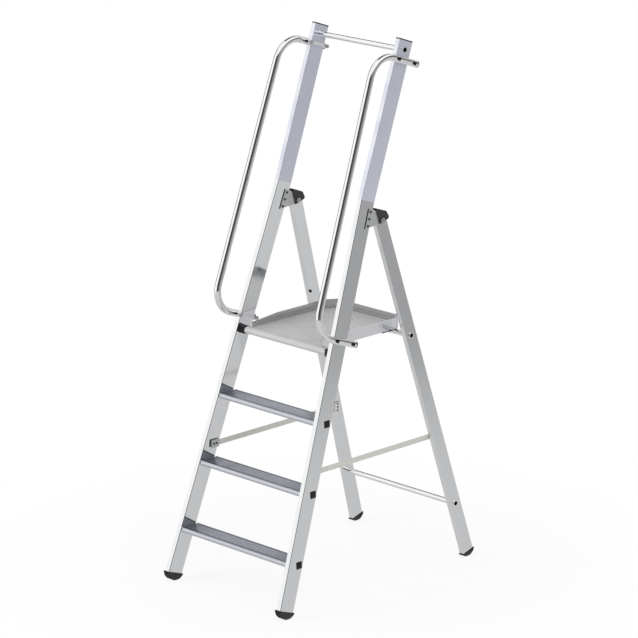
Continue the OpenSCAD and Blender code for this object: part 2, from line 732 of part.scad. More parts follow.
// The rivets of a strap's leg end, one above the other
module leg_strap_rivet_places() for (i = [-1 : 1])
    translate([0, leg_strap_y, strap_height + i * strap_rivet_pitch]) children();
module leg_strap_plate(side) color("#55585d") placed() on_side(side) difference() {
    translate([strap_seat, leg_strap_y - strap_plate_w / 2, strap_height - strap_plate_h / 2])
        cube([anchor_t, strap_plate_w, strap_plate_h]);
    leg_strap_rivet_places() x_bar(strap_rivet_d + 2 * run_clear, 0, base_w);
}
module left_leg_strap_plate() leg_strap_plate("left");
module right_leg_strap_plate() leg_strap_plate("right");
module leg_strap_rivets() color("#2c2d30") placed() both_sides() leg_strap_rivet_places() {
    x_bar(strap_rivet_d, strap_seat - strap_head_h / 2,
        leg_x(leg_strap_along) - leg_t / 2 + leg_wall + blind_tail);
    x_bar(leg_strap_head_d, strap_seat - strap_head_h, strap_seat);
}

module leg_buffers() color("#151516") on_leg() both_sides() flared_leg()
    translate([-leg_t / 2, buffer_y, (buffer_along + leg_t / 2 * sin(flare)) / cos(flare)]) {
        x_bar(buffer_d, -buffer_h, 0);
        rotate([0, flare, 0]) x_bar(buffer_shank_d, -buffer_h / 2, leg_wall + blind_tail);
    }

// The platform's outline in plan, behind its pivot, inset from the outside
module deck_plan(inset) {
    half = deck_w / 2 - inset;
    back = deck_reach - inset;
    cut = inset * (sqrt(corner_x * corner_x + corner_y * corner_y) - corner_x) / corner_y;
    cut_y = inset * (sqrt(corner_x * corner_x + corner_y * corner_y) - corner_y) / corner_x;
    polygon([[-half, 0], [half, 0],
        [half, deck_reach - corner_y - cut_y], [deck_w / 2 - corner_x - cut, back],
        [-deck_w / 2 + corner_x + cut, back], [-half, deck_reach - corner_y - cut_y]]);
}
// Platform directions: from the pivot, X across, Y back, Z from the deck's top
module on_deck() placed() translate([0, pivot_y, deck_z]) children();

module platform_deck() color("#c2c3bf") on_deck() {
    difference() {
        union() {
            intersection() {
                translate([0, 0, -deck_t]) linear_extrude(deck_t) deck_plan(rim_t);
                translate([-deck_w, strip_y, -beyond]) cube([2 * deck_w, deck_reach, 2 * beyond]);
            }
            translate([-nose_w / 2, 0, -deck_t]) cube([nose_w, strip_y, deck_t]);
            translate([0, 0, -nose_d / 2]) x_bar(nose_d, -nose_w / 2, nose_w / 2);
            for (m = [0, 1]) mirror([m, 0, 0])
                translate([deck_w / 2 - rim_t - flange_t, rim_front, -deck_t])
                    cube([flange_t, deck_reach - corner_y - rim_front - rim_t, flange_h + deck_t]);
            translate([corner_x + 2 * rim_t - deck_w / 2, deck_reach - rim_t - flange_t, -deck_t])
                cube([deck_w - 2 * corner_x - 4 * rim_t, flange_t, flange_h + deck_t]);
        }
        translate([0, 0, -nose_d / 2]) x_bar(nose_d - 2 * nose_wall, -nose_w, nose_w);
        for (m = [0, 1]) mirror([m, 0, 0])
            translate([deck_w / 2 - rim_t, rim_front - run_clear, -slot_depth - run_clear])
                cube([rim_t + run_clear, strip_y, slot_depth + over]);
        rim_rivet_places() x_bar(rim_rivet_d + 2 * run_clear, -rim_t - 2 * flange_t, rim_t);
    }
}
// The places of the rim rivets, on the rim's outer face
module rim_rivet_places() for (m = [0, 1]) mirror([m, 0, 0]) for (y = rim_rivet_from)
    translate([deck_w / 2, y, rim_rivet_up]) children();
// The kick rim: a strip bent round the deck and let into the nose, tapered down towards it
module platform_rim() color("#b6b9be") on_deck() difference() {
    translate([0, 0, -rim_drop]) linear_extrude(rim_drop + kick_h) difference() {
        deck_plan(0);
        deck_plan(rim_t);
    }
    translate([-deck_w, -beyond, -beyond]) cube([2 * deck_w, beyond + rim_front, 2 * beyond]);
    translate([-deck_w, -beyond, -beyond - slot_depth]) cube([2 * deck_w, beyond + strip_y, beyond]);
    translate([-deck_w, -beyond, -beyond - deck_t]) cube([2 * deck_w, beyond + rim_notch, beyond]);
    across_frame(-deck_w, deck_w) polygon([[0, kick_front_h],
        [kick_taper * (1 + over / (kick_h - kick_front_h)), kick_h + over], [0, kick_h + over]]);
    rim_rivet_places() x_bar(rim_rivet_d + 2 * run_clear, -2 * rim_t, rim_t);
}
module rim_rivets() color("#8a8d91") on_deck() rim_rivet_places() {
    x_bar(rim_rivet_d, -rim_t - flange_t - rim_head_h, rim_head_h);
    x_bar(rim_head_d, 0, rim_head_h);
    x_bar(rim_head_d, -rim_t - flange_t - rim_head_h, -rim_t - flange_t);
}
module platform_nose_bushes() color("#1b1b1d") on_deck() both_sides()
    translate([0, 0, -nose_d / 2]) difference() {
        x_bar(nose_d - 2 * nose_wall - 2 * run_clear, nose_w / 2 - bush_len, nose_w / 2);
        x_bar(pivot_d + 2 * run_clear, 0, nose_w);
    }
module platform_rest_pads() color("#151516") on_deck()
    translate([0, 0, -rim_drop - pad_t]) linear_extrude(pad_t) intersection() {
        difference() {
            deck_plan(0);
            deck_plan(rim_t + pad_side);
        }
        for (m = [0, 1]) mirror([m, 0, 0]) translate([deck_w / 4, deck_reach - pad_len])
            square([deck_w, deck_reach]);
    }

// A taut strap, from under its anchor on the stile to under its plate on the leg
module strap(side) color("#b5ab98") placed() on_side(side) difference() {
    from = strap_from_y - strap_end;
    to = leg_strap_y + strap_end;
    translate([strap_x, from, strap_height - strap_w / 2]) cube([strap_t, to - from, strap_w]);
    strap_rivet_places() x_bar(strap_rivet_d + 2 * slip_clear, 0, base_w);
    leg_strap_rivet_places() x_bar(strap_rivet_d + 2 * slip_clear, 0, base_w);
}
module left_strap() strap("left");
module right_strap() strap("right");

left_stile();
right_stile();
left_top_cap();
right_top_cap();
left_front_foot();
right_front_foot();
tread_1();
tread_2();
tread_3();
tread_end_plugs();
guard_bar();
left_handrail();
right_handrail();
handrail_end_plugs();
clamp_bars();
clamp_bolts();
clamp_nuts();
left_outer_hinge_plate();
left_inner_hinge_plate();
right_outer_hinge_plate();
right_inner_hinge_plate();
hinge_plate_rivets();
hinge_pins();
left_pivot_block();
right_pivot_block();
platform_pivot_pins();
left_strap_anchor();
right_strap_anchor();
strap_anchor_rivets();
left_leg();
right_leg();
left_leg_cap();
right_leg_cap();
left_rear_foot();
right_rear_foot();
platform_rest_rod();
tie_rod();
leg_rod_rings();
left_leg_strap_plate();
right_leg_strap_plate();
leg_strap_rivets();
leg_buffers();
platform_deck();
platform_rim();
platform_nose_bushes();
rim_rivets();
platform_rest_pads();
left_strap();
right_strap();
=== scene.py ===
import math

import bmesh
import bpy
from mathutils import Matrix, Vector


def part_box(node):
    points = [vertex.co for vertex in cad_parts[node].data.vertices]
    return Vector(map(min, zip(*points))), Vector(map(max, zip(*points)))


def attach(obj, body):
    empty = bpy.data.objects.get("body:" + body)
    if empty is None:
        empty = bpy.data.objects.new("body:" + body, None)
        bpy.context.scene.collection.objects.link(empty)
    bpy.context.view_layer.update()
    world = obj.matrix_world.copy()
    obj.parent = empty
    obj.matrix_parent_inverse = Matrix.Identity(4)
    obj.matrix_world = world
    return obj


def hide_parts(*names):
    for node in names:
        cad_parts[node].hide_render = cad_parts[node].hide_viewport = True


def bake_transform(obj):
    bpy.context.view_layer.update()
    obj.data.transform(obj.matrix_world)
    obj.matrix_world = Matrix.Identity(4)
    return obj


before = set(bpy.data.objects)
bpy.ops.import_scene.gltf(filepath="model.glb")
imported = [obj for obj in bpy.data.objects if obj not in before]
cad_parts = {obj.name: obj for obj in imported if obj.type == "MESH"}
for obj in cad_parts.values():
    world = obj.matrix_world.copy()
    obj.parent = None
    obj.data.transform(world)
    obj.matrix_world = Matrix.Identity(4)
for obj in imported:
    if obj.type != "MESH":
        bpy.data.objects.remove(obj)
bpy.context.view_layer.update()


# The two stiles are hollow aluminium extrusions, anodised to a bright satin and bent once above the hinges.
# The die leaves fine lines along them, and handling burnishes their long corners.
# The tread tubes, the guard bar and the rivets of the plates go through their faces.
class Shade:
    """A socket of a material's node tree. Arithmetic on it adds Math nodes."""

    def __init__(self, tree, socket=None):
        self.tree = tree
        self.socket = socket

    def node(self, kind, settings, sockets, out=0):
        """Adds a node, sets it up, gives its sockets their values or links, and returns one output."""
        made = self.tree.nodes.new(kind)
        for name, value in settings.items():
            if name == "stops":
                while len(made.color_ramp.elements) < len(value):
                    made.color_ramp.elements.new(1.0)
                for stop, (place, colour) in zip(made.color_ramp.elements, value):
                    stop.position = place
                    stop.color = colour
            else:
                setattr(made, name, value)
        for name, value in sockets.items():
            if isinstance(value, Shade):
                self.tree.links.new(value.socket, made.inputs[name])
            else:
                made.inputs[name].default_value = value
        return Shade(self.tree, made.outputs[out])

    def maths(self, operation, *values):
        """A Math node on this socket and any other values."""
        return self.node("ShaderNodeMath", {"operation": operation}, dict(enumerate((self, *values))))

    def __add__(self, other):
        return self.maths("ADD", other)

    def __sub__(self, other):
        return self.maths("SUBTRACT", other)

    def __rsub__(self, other):
        return self.node("ShaderNodeMath", {"operation": "SUBTRACT"}, {0: other, 1: self})

    def __mul__(self, other):
        return self.maths("MULTIPLY", other)

    def __abs__(self):
        return self.maths("ABSOLUTE")

    __radd__ = __add__
    __rmul__ = __mul__


def start_finish(name):
    """A new material, a Shade to grow its nodes from, and its shader."""
    material = bpy.data.materials.new(name)
    material.use_nodes = True
    return material, Shade(material.node_tree), material.node_tree.nodes["Principled BSDF"]


def feed(shade, shader, name):
    """Links a socket to one of a shader's inputs."""
    shade.tree.links.new(shade.socket, shader.inputs[name])


def split(place):
    """The three coordinates of a place."""
    return [place.node("ShaderNodeSeparateXYZ", {}, {0: place}, out=axis) for axis in range(3)]


def place_on_part(shade):
    """The three coordinates of a point on the part, in metres."""
    return split(shade.node("ShaderNodeTexCoord", {}, {}, out=3))


def ramped(value, start, end):
    """0 before start, 1 after end, and eased between them."""
    sockets = {"Value": value, "From Min": start, "From Max": end}
    return value.node("ShaderNodeMapRange", {"interpolation_type": "SMOOTHSTEP"}, sockets)


def speckle(x, y, z, fine, detail=2.0):
    """Noise of about 1 / fine metres, 0 to 1, over three coordinates."""
    point = x.node("ShaderNodeCombineXYZ", {}, {0: x, 1: y, 2: z})
    return x.node("ShaderNodeTexNoise", {}, {"Vector": point, "Scale": fine, "Detail": detail})


def tinted(mask, low, high):
    """A colour that goes from low to high with a mask. Each is three numbers or a Shade."""
    low, high = (colour if isinstance(colour, Shade) else (*colour, 1) for colour in (low, high))
    return mask.node("ShaderNodeMix", {"data_type": "RGBA"}, {0: mask, 6: low, 7: high}, out=2)


def raised(height, depth, shader, strength):
    """Fine relief of a depth in metres on a shader."""
    relief = {"Height": height, "Distance": depth, "Strength": strength}
    feed(height.node("ShaderNodeBump", {}, relief), shader, "Normal")


def dress(material, *nodes):
    """Gives CAD nodes a finish."""
    for name in nodes:
        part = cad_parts[name]
        part.data.materials.clear()
        part.data.materials.append(material)


stile_lean = 19.3
stile_foot_y = -0.51711
stile_bend = 1.521
stile_depth = 0.068
flare_slope = math.tan(math.radians(3.1))
bend_ease = 0.0006
burnish_width = 0.0035
burnish_edge = 0.0005
# Die lines are noise drawn out along an extrusion, where a distance counts this much of one across it
die_stretch = 0.004


def extruded_finish(name, start, lean, middle, half_depth, bend=None):
    """Satin anodised extrusion along a leaning, flared section, with a painted reflection above any bend:
    bluer and duller there.
    """
    material, shade, shader = start_finish(name)
    x, y, z = place_on_part(shade)
    start_y, start_z = start
    sine = math.sin(math.radians(lean))
    cosine = math.cos(math.radians(lean))
    along = (y - start_y) * sine + (z - start_z) * cosine
    across = (y - start_y) * cosine - (z - start_z) * sine
    flared = along.maths("MINIMUM", bend) if bend else along
    side = abs(x) + flare_slope * flared
    drawn = along * die_stretch
    die_lines = speckle(side, across, drawn, 900)
    broad_lines = speckle(side, across, drawn, 130)
    clouds = speckle(x, y, z, 9)
    corner = ramped(abs(across - middle), half_depth - burnish_width, half_depth - burnish_edge)
    streaks = 0.6 * broad_lines + 0.4 * clouds
    tone = tinted(streaks, (0.83, 0.845, 0.865), (0.9, 0.905, 0.915))
    if bend:
        # Above the bend the colour is a painted reflection: bluer and darker, as the bent face mirrors
        # another part of the studio.
        upper_reflection_tone = tinted(streaks, (0.7, 0.715, 0.835), (0.77, 0.785, 0.895))
        above_bend = ramped(along, bend - bend_ease, bend + bend_ease)
        tone = tinted(above_bend, tone, upper_reflection_tone)
        feed(1 - 0.4 * above_bend, shader, "Metallic")
    else:
        shader.inputs["Metallic"].default_value = 1.0
    burnish = corner * ramped(clouds, 0.35, 0.6) * 0.6
    feed(tinted(burnish, tone, (0.92, 0.925, 0.93)), shader, "Base Color")
    feed(0.035 + 0.04 * die_lines + 0.03 * clouds - 0.015 * corner, shader, "Roughness")
    raised(die_lines, 0.00002, shader, 0.25)
    return material


stile_aluminium = extruded_finish(
    "stile_aluminium", (stile_foot_y, 0.0), stile_lean, stile_depth / 2, stile_depth / 2, stile_bend)
dress(stile_aluminium, "left_stile", "right_stile")


# The stile tops are closed by pressed-in black plastic caps, and black plastic plugs close the tread tubes
# and the handrail ends. They are moulded with a fine spark-eroded grain.
def sideways(shade):
    """1 on faces that look to the left or right of the part, 0 on its other faces."""
    outward = shade.node("ShaderNodeNewGeometry", {}, {}, out=1)
    return ramped(abs(shade.node("ShaderNodeSeparateXYZ", {}, {0: outward})), 0.85, 0.97)


def moulded_finish(name, side_highlight_colour=None):
    """Moulded black plastic with a fine grain, and a painted highlight on its sides if they have a colour.
    """
    material, shade, shader = start_finish(name)
    x, y, z = place_on_part(shade)
    pimples = speckle(x, y, z, 1400, 3.0)
    patches = speckle(x, y, z, 40)
    tone = tinted(ramped(patches, 0.4, 0.75), (0.012, 0.012, 0.013), (0.028, 0.028, 0.03))
    # The faces that look left and right are painted lighter: a painted highlight.
    if side_highlight_colour:
        tone = tinted(sideways(shade), tone, side_highlight_colour)
    feed(tone, shader, "Base Color")
    feed(0.34 + 0.16 * patches + 0.1 * pimples, shader, "Roughness")
    raised(pimples, 0.0002, shader, 0.5)
    shader.inputs["Specular IOR Level"].default_value = 0.2
    return material


moulded_black = moulded_finish("moulded_black")
dress(moulded_black, "left_top_cap", "right_top_cap", "tread_end_plugs", "handrail_end_plugs")


# The feet are half-moon mouldings of hard black rubber, pushed into the ends of stiles and legs.
# Their sides carry a painted highlight, and they are scuffed grey where they meet the floor.
foot_rubber, foot_shade, foot_shader = start_finish("foot_rubber")
foot_x, foot_y, foot_z = place_on_part(foot_shade)
scuff_top = 0.016
scuff_base = 0.001
foot_grain = speckle(foot_x, foot_y, foot_z, 900, 4.0)
scuff_marks = ramped(speckle(foot_x, foot_y, foot_z, 260, 4.0), 0.38, 0.62)
foot_scuff = ramped(foot_z, scuff_top, scuff_base) * scuff_marks
foot_black = tinted(speckle(foot_x, foot_y, foot_z, 60), (0.01, 0.01, 0.011), (0.022, 0.021, 0.02))
# The faces that look left and right are painted lighter: a painted highlight.
foot_tone = tinted(sideways(foot_shade), foot_black, (0.04, 0.04, 0.041))
feed(tinted(0.7 * foot_scuff, foot_tone, (0.11, 0.105, 0.1)), foot_shader, "Base Color")
feed(0.5 + 0.18 * foot_grain + 0.15 * foot_scuff, foot_shader, "Roughness")
raised(foot_grain, 0.0003, foot_shader, 0.6)
foot_shader.inputs["Specular IOR Level"].default_value = 0.2
dress(foot_rubber, "left_front_foot", "right_front_foot", "left_rear_foot", "right_rear_foot")


# The treads are ribbed aluminium extrusions, each carried on a square tube that passes through both stiles.
# Shoes polish the rib crowns, and the rounded nose is plain. The crowns are painted darker towards the ends,
# as painted shade.
# Dirt settles in the grooves. A dark line behind the nose and one along the back edge are painted shade.
tread_material, tread_shade, tread_shader = start_finish("tread_aluminium")
tread_x, tread_y, tread_z = place_on_part(tread_shade)
first_tread = 0.197
tread_rise = 0.240
tread_setback = 0.001
# A shift that keeps all of a tread, down to 27 mm below its top, at one rounded number
level_shift = 0.02
tread_number = ((tread_z - first_tread + level_shift) * (1 / tread_rise)).maths("ROUND")
below_top = first_tread + tread_rise * tread_number - tread_z
nose_slope = math.tan(math.radians(stile_lean))
first_nose_y = stile_foot_y + tread_setback + nose_slope * first_tread
from_nose = tread_y - first_nose_y - nose_slope * tread_rise * tread_number
on_ribs = ramped(from_nose, 0.009, 0.013)
in_groove = ramped(below_top, 0.0001, 0.0011) * on_ribs
# Painted shade: a dark line on the flat behind the nose and one along the back edge.
nose_root = ramped(from_nose, 0.007, 0.0085) * ramped(from_nose, 0.0185, 0.017)
back_edge = ramped(from_nose, 0.0705, 0.0725)
first_half, last_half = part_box("tread_1")[1].x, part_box("tread_3")[1].x
tread_half = first_half + (last_half - first_half) / 2 * tread_number
# Painted shade: the crowns go darker towards the tread's ends, next to the stiles.
end_shade = ramped(abs(tread_x) - tread_half, -0.16, -0.02)
groove_dirt = in_groove * 0.8
nose_and_back_shade = 0.95 * nose_root + 0.85 * back_edge
dirt_and_shade = groove_dirt.maths("MAXIMUM", nose_and_back_shade)
tread_lines = speckle(tread_x * die_stretch, tread_y, tread_z, 800)
tread_wear = speckle(tread_x, tread_y, tread_z, 22, 4.0)
worn_tone = tinted(tread_wear, (0.72, 0.745, 0.865), (0.78, 0.805, 0.91))
crown_tone = tinted(end_shade * 0.6, worn_tone, (0.36, 0.37, 0.42))
nose_tone = tinted(tread_lines, (0.58, 0.59, 0.655), (0.68, 0.69, 0.75))
tread_tone = tinted(on_ribs, nose_tone, crown_tone)
# The dirt in the grooves and the painted shade share one dark colour.
feed(tinted(dirt_and_shade, tread_tone, (0.2, 0.205, 0.225)), tread_shader, "Base Color")
feed(0.24 + 0.08 * tread_lines + 0.05 * tread_wear + 0.25 * in_groove, tread_shader, "Roughness")
raised(tread_lines, 0.00004, tread_shader, 0.4)
tread_shader.inputs["Metallic"].default_value = 0.85
dress(tread_material, "tread_1", "tread_2", "tread_3")


# The guard bar, the handrails and the rods between the legs are drawn tubes, polished bright.
# The handrails are bent at both ends and clamped to the stiles' outer faces by two bolts at each end.
# The rods pass through the legs and are held there by lock rings.
polished_tube, tube_shade, tube_shader = start_finish("polished_tube")
tube_x, tube_y, tube_z = place_on_part(tube_shade)
tube_haze = speckle(tube_x, tube_y, tube_z, 14, 4.0)
tube_polish = speckle(tube_x, tube_y, tube_z, 1600)
feed(tinted(tube_haze, (0.93, 0.935, 0.94), (0.97, 0.972, 0.974)), tube_shader, "Base Color")
feed(0.05 + 0.06 * tube_haze + 0.03 * tube_polish, tube_shader, "Roughness")
raised(tube_polish, 0.00002, tube_shader, 0.2)
tube_shader.inputs["Metallic"].default_value = 1.0
dress(polished_tube, "guard_bar", "left_handrail", "right_handrail", "platform_rest_rod", "tie_rod",
      "leg_rod_rings")


# Of the two bolts at a handrail's end one passes in front of the stile and one behind it. They pull a flat
# aluminium bar against the stile's inner face, under hexagon nuts. Nuts and pins are zinc plated, with the
# plating's faint straw tint, and the bolts have blackened heads and bright tails.
zinc_steel, zinc_shade, zinc_shader = start_finish("zinc_steel")
zinc_x, zinc_y, zinc_z = place_on_part(zinc_shade)
zinc_bloom = speckle(zinc_x, zinc_y, zinc_z, 120, 4.0)
zinc_grain = speckle(zinc_x, zinc_y, zinc_z, 2200)
zinc_tone = tinted(ramped(zinc_bloom, 0.3, 0.7), (0.5, 0.51, 0.53), (0.66, 0.645, 0.6))
feed(zinc_tone, zinc_shader, "Base Color")
feed(0.26 + 0.14 * zinc_bloom + 0.08 * zinc_grain, zinc_shader, "Roughness")
raised(zinc_grain, 0.00005, zinc_shader, 0.4)
zinc_shader.inputs["Metallic"].default_value = 1.0
dress(zinc_steel, "clamp_nuts", "platform_pivot_pins", "hinge_pins")

bar_aluminium, bar_shade, bar_shader = start_finish("bar_aluminium")
bar_x, bar_y, bar_z = place_on_part(bar_shade)
bar_lines = speckle(bar_x, bar_y * 0.02, bar_z, 800)
bar_marks = speckle(bar_x, bar_y, bar_z, 90, 4.0)
feed(tinted(bar_marks, (0.74, 0.745, 0.76), (0.86, 0.865, 0.875)), bar_shader, "Base Color")
feed(0.24 + 0.12 * bar_lines + 0.1 * bar_marks, bar_shader, "Roughness")
raised(bar_lines, 0.00003, bar_shader, 0.3)
bar_shader.inputs["Metallic"].default_value = 0.45
dress(bar_aluminium, "clamp_bars")

black_steel, bolt_shade, bolt_shader = start_finish("black_steel")
bolt_x, bolt_y, bolt_z = place_on_part(bolt_shade)
bolt_rub = speckle(bolt_x, bolt_y, bolt_z, 450, 3.0)
head_tone = tinted(ramped(bolt_rub, 0.5, 0.75), (0.014, 0.014, 0.015), (0.06, 0.06, 0.062))
# Height of the lower clamp, the stile's inner face there, and how far it draws in per metre to the upper one
low_clamp = 0.95
inner_face = 0.2275
clamp_slope = 0.0303
from_middle = abs(bolt_x) + clamp_slope * (bolt_z - low_clamp)
bolt_tail = ramped(from_middle, inner_face - 0.002, inner_face - 0.005)
feed(tinted(bolt_tail, head_tone, (0.55, 0.55, 0.54)), bolt_shader, "Base Color")
feed(0.3 + 0.2 * bolt_rub, bolt_shader, "Roughness")
bolt_shader.inputs["Metallic"].default_value = 0.6
bolt_shader.inputs["Specular IOR Level"].default_value = 0.25
dress(black_steel, "clamp_bolts")


# The hinge plates are pressed from hot-dip galvanised sheet, with the crystal spangle of the zinc. Three
# blackened rivets go through the stile and the plates on both its faces. The front strap plates are cut from
# the same sheet, those on the legs are aluminium, and all four are held by blackened rivets too.
def galvanised_finish(name, edge_shade_colour):
    """Galvanised sheet whose sheared edges are painted dark, partly bare steel and mostly painted shade."""
    material, shade, shader = start_finish(name)
    place = shade.node("ShaderNodeTexCoord", {}, {}, out=3)
    x, y, z = split(place)
    crystals = shade.node("ShaderNodeTexVoronoi", {}, {"Vector": place, "Scale": 190.0}, out=1)
    crystal_tone = shade.node("ShaderNodeSeparateColor", {}, {0: crystals})
    frost = speckle(x, y, z, 700, 3.0)
    tone = tinted(0.7 * crystal_tone + 0.3 * frost, (0.5, 0.515, 0.51), (0.68, 0.695, 0.685))
    # Faces that don't look left or right, the plate edges, are painted nearly black: painted shade.
    feed(tinted(sideways(shade), edge_shade_colour, tone), shader, "Base Color")
    feed(0.3 + 0.16 * crystal_tone + 0.1 * frost, shader, "Roughness")
    raised(crystal_tone, 0.00004, shader, 0.3)
    shader.inputs["Metallic"].default_value = 0.65
    return material


hinge_sheet = galvanised_finish("hinge_sheet", (0.035, 0.036, 0.037))
dress(hinge_sheet, "left_outer_hinge_plate", "left_inner_hinge_plate", "right_outer_hinge_plate",
      "right_inner_hinge_plate")
anchor_sheet = galvanised_finish("anchor_sheet", (0.24, 0.245, 0.245))
dress(anchor_sheet, "left_strap_anchor", "right_strap_anchor")
dress(bar_aluminium, "left_leg_strap_plate", "right_leg_strap_plate")

dark_rivet, rivet_shade, rivet_shader = start_finish("dark_rivet")
rivet_x, rivet_y, rivet_z = place_on_part(rivet_shade)
rivet_rub = speckle(rivet_x, rivet_y, rivet_z, 500, 3.0)
rivet_tone = tinted(ramped(rivet_rub, 0.45, 0.7), (0.09, 0.092, 0.096), (0.26, 0.265, 0.27))
feed(rivet_tone, rivet_shader, "Base Color")
feed(0.32 + 0.2 * rivet_rub, rivet_shader, "Roughness")
rivet_shader.inputs["Metallic"].default_value = 0.9
dress(dark_rivet, "hinge_plate_rivets", "strap_anchor_rivets", "leg_strap_rivets")


# The rear legs are narrower hollow extrusions of the same bright aluminium, hinged between the plates.
# Their black moulded caps, with a painted highlight on their sides, stop on the stiles when the step stands
# open.
# A black button is pressed into each leg's inner face.
hinge_y = 0.080868
hinge_z = 1.346
leg_lean = 16.6
leg_depth = 0.055
leg_aluminium = extruded_finish("leg_aluminium", (hinge_y, hinge_z), -leg_lean, 0.0, leg_depth / 2)
dress(leg_aluminium, "left_leg", "right_leg")
cap_black = moulded_finish("cap_black", (0.05, 0.05, 0.052))
dress(cap_black, "left_leg_cap", "right_leg_cap")
dress(moulded_black, "leg_buffers")


# The platform is a sheet aluminium deck with a rolled nose and a kick rim riveted round it.
# It turns on bushes in the nose, between black blocks on the stiles, and rests on black pads under the rim.
# Its tread surface is embossed with rows of low round studs.
def put_in_scene(name, data):
    """A new object in the scene."""
    made = bpy.data.objects.new(name, data)
    bpy.context.scene.collection.objects.link(made)
    return made


def put_mesh(name, shape, material):
    """A new object in the scene from a finished bmesh, with one material."""
    data = bpy.data.meshes.new(name)
    shape.to_mesh(data)
    shape.free()
    data.materials.append(material)
    return put_in_scene(name, data)


dress(moulded_black, "left_pivot_block", "right_pivot_block", "platform_nose_bushes", "platform_rest_pads")

deck_sheet, deck_shade, deck_shader = start_finish("deck_sheet")
deck_x, deck_y, deck_z = place_on_part(deck_shade)
deck_top = 0.917
deck_grey = (0.67, 0.672, 0.665)
deck_grain = speckle(deck_x, deck_y, deck_z, 1100, 3.0)
deck_wear = speckle(deck_x, deck_y, deck_z, 15, 5.0)
stud_crown = ramped(deck_z, deck_top + 0.0003, deck_top + 0.0009)
turned_up = ramped(deck_z, deck_top + 0.0012, deck_top + 0.002)
front_roll = ramped(deck_y, -0.1745, -0.183)
deck_tone = tinted(deck_wear, deck_grey, (0.76, 0.762, 0.755))
crowned_tone = tinted(stud_crown, deck_tone, (0.93, 0.932, 0.925))
rolled_tone = tinted(front_roll, crowned_tone, deck_grey)
feed(tinted(turned_up, rolled_tone, (0.4, 0.402, 0.41)), deck_shader, "Base Color")
feed(0.42 + 0.16 * deck_wear + 0.1 * deck_grain - 0.12 * stud_crown, deck_shader, "Roughness")
raised(deck_grain, 0.00008, deck_shader, 0.5)
deck_shader.inputs["Metallic"].default_value = 0.4
dress(deck_sheet, "platform_deck")

stud_pitch = 0.0125
row_pitch = stud_pitch * 0.866
stud_r = 0.0026
stud_h = 0.0009
stud_sink = 0.0003
stud_sides = 8
# Radius and height of each ring of a stud's dome
stud_rings = ((stud_r, -stud_sink), (stud_r * 0.9, stud_h * 0.45), (stud_r * 0.5, stud_h * 0.9))
stud_turns = [2 * math.pi * i / stud_sides for i in range(stud_sides)]
stud_margin = 0.016
stud_start = 0.024
corner_cut_x = 0.026
corner_cut_y = 0.038
deck_low, deck_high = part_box("platform_rim")
stud_mesh = bmesh.new()
stud_rows = int((deck_high.y - deck_low.y - stud_start - stud_margin) / row_pitch) + 1
for row in range(stud_rows):
    stud_y = deck_low.y + stud_start + row * row_pitch
    to_back = max(0.0, stud_y - (deck_high.y - stud_margin - corner_cut_y))
    half_row = deck_high.x - stud_margin - corner_cut_x * to_back / corner_cut_y
    shift = stud_pitch / 2 * (row % 2)
    reach = int((half_row - shift) / stud_pitch)
    for column in range(-reach - row % 2, reach + 1):
        centre = Vector((column * stud_pitch + shift, stud_y, deck_top))
        rings = []
        for ring_r, ring_h in stud_rings:
            ring = [Vector((ring_r * math.cos(turn), ring_r * math.sin(turn), ring_h))
                    for turn in stud_turns]
            rings.append([stud_mesh.verts.new(centre + place) for place in ring])
        for low_ring, high_ring in zip(rings, rings[1:]):
            for i in range(stud_sides):
                after = (i + 1) % stud_sides
                stud_mesh.faces.new((low_ring[i], low_ring[after], high_ring[after], high_ring[i]))
        stud_mesh.faces.new(rings[-1])
        stud_mesh.faces.new(list(reversed(rings[0])))
for face in stud_mesh.faces:
    face.smooth = True
deck_studs = put_mesh("deck_studs", stud_mesh, deck_sheet)
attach(deck_studs, "platform")

rim_sheet, rim_shade, rim_shader = start_finish("rim_sheet")
rim_x, rim_y, rim_z = place_on_part(rim_shade)
# Where the rim's side walls go over from the inner face, darker as painted shade, to the outer face, lighter
# as a painted reflection
rim_inner_x = 0.1792
rim_outer_x = 0.1804
rim_lines = speckle(rim_x, rim_y, rim_z * 60, 12, 3.0)
rim_clouds = speckle(rim_x, rim_y, rim_z, 25, 3.0)
rim_streaks = 0.5 * rim_lines + 0.5 * rim_clouds
rim_shaded_inside = tinted(rim_streaks, (0.5, 0.505, 0.525), (0.6, 0.605, 0.625))
rim_lit_outside = tinted(rim_streaks, (0.84, 0.845, 0.885), (0.92, 0.925, 0.955))
rim_tone = tinted(ramped(abs(rim_x), rim_inner_x, rim_outer_x), rim_shaded_inside, rim_lit_outside)
feed(rim_tone, rim_shader, "Base Color")
feed(0.07 + 0.06 * rim_lines + 0.05 * rim_clouds, rim_shader, "Roughness")
rim_shader.inputs["Metallic"].default_value = 1.0
dress(rim_sheet, "platform_rim", "rim_rivets")


# The straps that hold the legs from spreading are flat woven webbing, undyed beige grey.
# Each is riveted under a plate on the stile in front and one on the leg behind, and is taut when open.
def wave(value, radians):
    """A wave between 0 and 1, of so many radians to the metre."""
    return 0.5 + 0.5 * (value * radians).maths("SINE")


webbing, web_shade, web_shader = start_finish("webbing")
web_along, web_across = split(web_shade.node("ShaderNodeTexCoord", {}, {}, out=2))[:2]
yarn_wave = 1963.0
cord_wave = 3141.6
yarn = wave(web_along, yarn_wave)
cord = wave(web_across, cord_wave)
web_fuzz = speckle(web_along, web_across, web_across, 700, 4.0)
web_soil = speckle(web_along, web_across * 2.0, web_across, 30, 4.0)
web_tone = tinted(0.5 * web_fuzz + 0.5 * web_soil, (0.58, 0.565, 0.525), (0.69, 0.675, 0.63))
feed(tinted(0.35 * yarn * cord, web_tone, (0.8, 0.785, 0.745)), web_shader, "Base Color")
feed(0.72 + 0.2 * web_fuzz, web_shader, "Roughness")
raised(yarn * 0.6 + 0.4 * web_fuzz, 0.0002, web_shader, 0.6)
web_shader.inputs["Sheen Weight"].default_value = 0.25

